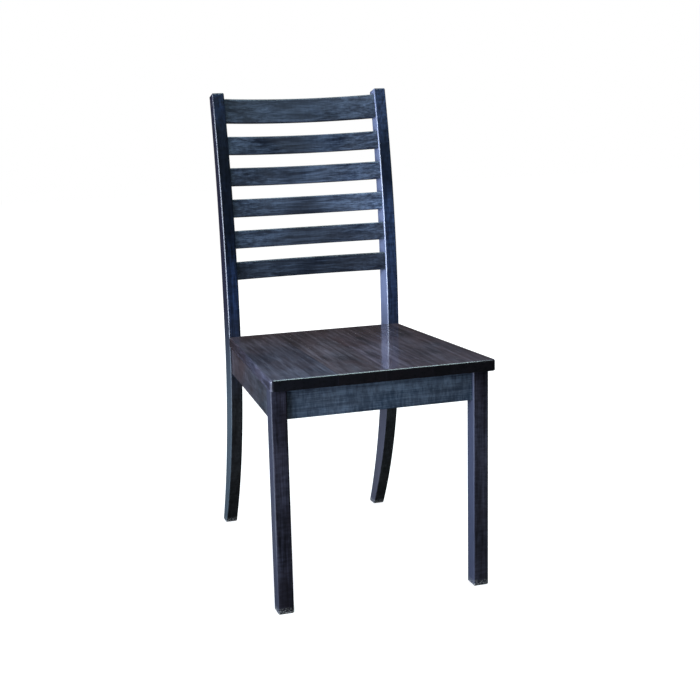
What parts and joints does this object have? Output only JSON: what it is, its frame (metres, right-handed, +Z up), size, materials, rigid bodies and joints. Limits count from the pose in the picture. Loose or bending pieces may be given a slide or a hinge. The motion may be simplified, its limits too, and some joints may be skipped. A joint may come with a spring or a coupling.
{
  "type": "ladderback chair",
  "caption": "Wooden dining chair with swept rear posts, bowed horizontal back slats, a plank seat and square front legs.",
  "frame": {"origin": "on the floor, midway between the seat's front edge and the heels, on the chair's centre line", "axes": "+Z up, the sitter faces -Y, left in node names is -X, as seen from the front"},
  "size_m": [0.44, 0.5852, 0.9701],
  "materials": {
    "stained_wood": "blue-black stain under a satin lacquer",
    "block_wood": "bare planed wood",
    "screw_steel": "zinc plated"
  },
  "bodies": {
    "root": {"back_slat_1": "stained_wood", "back_slat_2": "stained_wood", "back_slat_3": "stained_wood", "back_slat_4": "stained_wood", "back_slat_5": "stained_wood", "back_slat_6": "stained_wood", "corner_block_front_left": "block_wood", "corner_block_front_right": "block_wood", "corner_block_rear_left": "block_wood", "corner_block_rear_right": "block_wood", "corner_block_screws": "screw_steel", "front_apron": "stained_wood", "front_leg_left": "stained_wood", "front_leg_right": "stained_wood", "rear_apron": "stained_wood", "rear_post_left": "stained_wood", "rear_post_right": "stained_wood", "seat_board_1": "stained_wood", "seat_board_2": "stained_wood", "seat_board_3": "stained_wood", "seat_board_4": "stained_wood", "seat_screws": "screw_steel", "side_apron_left": "stained_wood", "side_apron_right": "stained_wood"}
  },
  "joints": []
}
